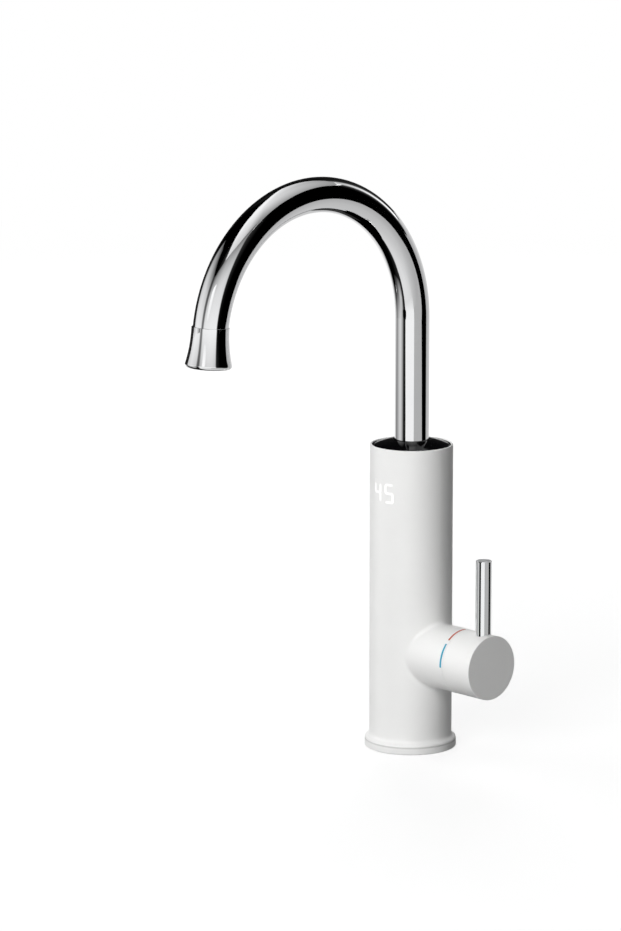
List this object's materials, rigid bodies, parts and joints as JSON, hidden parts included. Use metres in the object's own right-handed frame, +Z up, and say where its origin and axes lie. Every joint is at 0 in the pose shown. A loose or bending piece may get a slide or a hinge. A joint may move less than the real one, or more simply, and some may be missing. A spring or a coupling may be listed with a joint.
{
  "type": "instant hot water tap",
  "caption": "Electric instant hot water tap: white column with lit display window, chrome swivelling swan neck with flared nozzle, and a side handle with a lever pin.",
  "frame": {"origin": "centre of the foot's underside, on the worktop", "axes": "+Z up along the column, spout to -Y at rest, handle to +X"},
  "size_m": [0.1066, 0.2237, 0.4513],
  "materials": {
    "white_abs": "satin moulded white",
    "chrome": "polished chrome plate",
    "black_gloss": "gloss black moulding",
    "rubber": "matte black rubber",
    "brass": "turned brass",
    "steel": "bright stainless steel",
    "grey_plastic": "moulded grey plastic",
    "black_plastic": "moulded black plastic",
    "ceramic": "lapped white ceramic",
    "board_green": "green solder mask",
    "diffuser": "milky light diffuser",
    "ferrite": "sintered ferrite"
  },
  "bodies": {
    "tap_body": {"body_shell": "white_abs", "base_ring": "white_abs", "base_gasket": "rubber", "base_plate": "grey_plastic", "base_screws": "steel", "inlet_shank": "brass", "inlet_seal": "rubber", "inlet_filter": "steel", "worktop_washer": "rubber", "clamp_plate": "steel", "backnut": "brass", "cable_gland": "black_plastic", "valve_body": "brass", "cartridge_seal": "rubber", "fixed_disc": "ceramic", "cartridge_housing": "grey_plastic", "cartridge_nut": "brass", "flow_switch_body": "black_plastic", "flow_switch_seals": "rubber", "reed_switch": "black_plastic", "heater_chamber": "steel", "heating_elements": "steel", "element_glands": "brass", "chamber_seal": "rubber", "chamber_cap": "black_plastic", "temperature_sensor": "brass", "thermal_cutout": "black_plastic", "socket_nut": "brass", "top_cap": "black_gloss", "control_board": "board_green", "board_screws": "steel", "relay": "black_plastic", "terminal_block": "grey_plastic", "digit_display": "black_plastic", "display_diffuser": "diffuser"},
    "spout": {"spout_tube": "chrome", "spout_tail": "brass", "spout_o_rings": "rubber", "nozzle": "chrome", "aerator_washer": "rubber", "aerator_insert": "grey_plastic"},
    "handle": {"knob": "white_abs", "lever_pin": "chrome", "grub_screw": "steel", "valve_spindle": "brass", "spindle_o_rings": "rubber", "moving_disc": "ceramic"},
    "flow_float": {"flow_float": "grey_plastic", "float_magnet": "ferrite"}
  },
  "joints": [
    {"name": "spout_swivel", "type": "hinge", "parent": "tap_body", "child": "spout", "pos_m": [0, 0, 0.2], "axis": [0, 0, 1], "continuous": true},
    {"name": "handle_turn", "type": "hinge", "parent": "tap_body", "child": "handle", "pos_m": [0, 0, 0.0657], "axis": [1, 0, 0], "range_deg": [0, 90]},
    {"name": "float_lift", "type": "slide", "parent": "tap_body", "child": "flow_float", "axis": [0, 0, 1], "range_m": [0, 0.0035]}
  ]
}
